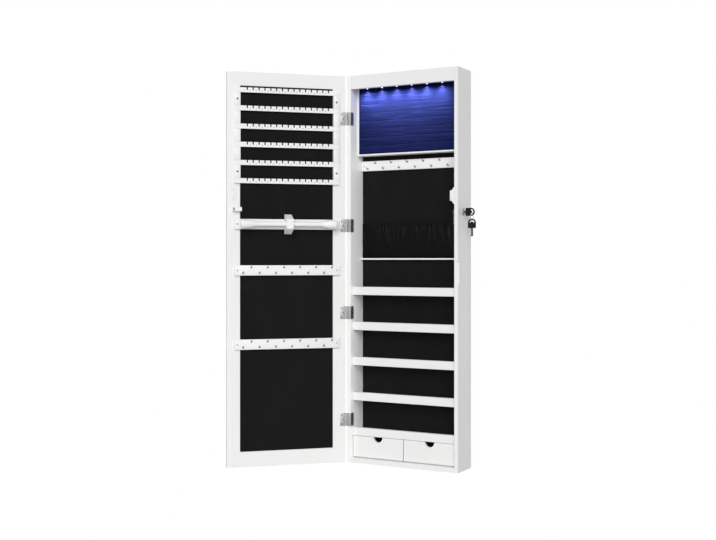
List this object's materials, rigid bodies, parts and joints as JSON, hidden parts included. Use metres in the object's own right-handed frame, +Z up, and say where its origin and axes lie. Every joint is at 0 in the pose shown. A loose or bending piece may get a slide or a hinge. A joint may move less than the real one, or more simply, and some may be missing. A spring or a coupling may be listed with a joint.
{
  "type": "jewelry mirror cabinet",
  "caption": "Tall wall-hung jewelry cabinet with a mirror door standing open: earring rack, hook bars, ring cushion, pocket, railed shelves, small drawers and a keyed lock.",
  "frame": {"origin": "middle of the hanging batten's rear face, on the wall plane", "axes": "+X to the right across the cabinet, +Y into the wall (the front faces -Y), +Z up"},
  "size_m": [0.6934, 0.3678, 1.2],
  "materials": {
    "white_lacquer": "satin white lacquer on fibreboard",
    "white_plastic": "white moulded plastic, low gloss",
    "black_velvet": "black flocked velvet, matt",
    "pocket_satin": "black satin cloth",
    "ring_foam": "dark velvet over foam rolls",
    "hardboard": "plain brown hardboard and batten",
    "mirror": "silvered glass",
    "steel": "nickel-plated steel",
    "black_plastic": "black moulded plastic",
    "lamp_plastic": "translucent white lamp bar",
    "magnet": "dark ferrite"
  },
  "bodies": {
    "cabinet": {"side_panel_left": "white_lacquer", "side_panel_right": "white_lacquer", "top_panel": "white_lacquer", "bottom_panel": "white_lacquer", "top_fascia": "white_lacquer", "back_lining": "black_velvet", "back_panel": "hardboard", "hanging_batten": "hardboard", "lower_batten": "hardboard", "led_bar": "lamp_plastic", "battery_box": "white_plastic", "ring_tray": "white_plastic", "ring_cushion": "ring_foam", "necklace_bar": "white_plastic", "pocket_cloth": "pocket_satin", "pocket_ledge": "white_lacquer", "shelf_1": "white_lacquer", "shelf_2": "white_lacquer", "shelf_3": "white_lacquer", "shelf_4": "white_lacquer", "shelf_5": "white_lacquer", "drawer_divider": "white_lacquer", "lock_housing": "steel", "lock_nut": "steel", "catch_housing": "white_plastic", "catch_magnet": "magnet", "hinge_cabinet_leaf_1": "steel", "hinge_cabinet_leaf_2": "steel", "hinge_cabinet_leaf_3": "steel", "hinge_cabinet_leaf_4": "steel"},
    "drawer_left": {"drawer_front_left": "white_lacquer", "drawer_box_left": "black_velvet"},
    "drawer_right": {"drawer_front_right": "white_lacquer", "drawer_box_right": "black_velvet"},
    "lock_rotor": {"lock_plug": "steel", "lock_cam": "steel", "key": "black_plastic"},
    "key_ring": {"key_ring": "steel"},
    "spare_key": {"spare_key": "black_plastic"},
    "door": {"door_stile_hinge": "white_lacquer", "door_stile_lock": "white_lacquer", "door_rail_bottom": "white_lacquer", "door_rail_top": "white_lacquer", "door_velvet": "black_velvet", "door_core_board": "hardboard", "door_mirror": "mirror", "earring_rack": "white_plastic", "hook_bar_upper": "white_plastic", "hook_bar_lower": "white_plastic", "bracelet_bar": "white_plastic", "bracelet_bracket": "white_plastic", "bracelet_rod": "white_plastic", "lock_strike": "white_plastic", "catch_plate": "white_lacquer", "hinge_door_leaf_1": "steel", "hinge_door_leaf_2": "steel", "hinge_door_leaf_3": "steel", "hinge_door_leaf_4": "steel"}
  },
  "joints": [
    {"name": "door_swing", "type": "hinge", "parent": "cabinet", "child": "door", "pos_m": [-0.1887, -0.1017, -0.5547], "axis": [0, 0, -1], "range_deg": [-135, 45]},
    {"name": "drawer_left_slide", "type": "slide", "parent": "cabinet", "child": "drawer_left", "axis": [0, -1, 0], "range_m": [0, 0.045]},
    {"name": "drawer_right_slide", "type": "slide", "parent": "cabinet", "child": "drawer_right", "axis": [0, -1, 0], "range_m": [0, 0.045]},
    {"name": "lock_turn", "type": "hinge", "parent": "cabinet", "child": "lock_rotor", "pos_m": [0.186, -0.06, -0.3832], "axis": [1, 0, 0], "range_deg": [-90, 0]},
    {"name": "key_ring_swing", "type": "hinge", "parent": "lock_rotor", "child": "key_ring", "pos_m": [0.2138, -0.06, -0.3866], "axis": [0, -1, 0], "range_deg": [-8, 45]},
    {"name": "spare_key_swing", "type": "hinge", "parent": "key_ring", "child": "spare_key", "pos_m": [0.2138, -0.06, -0.4086], "axis": [0, -1, 0], "range_deg": [-8, 45]}
  ]
}
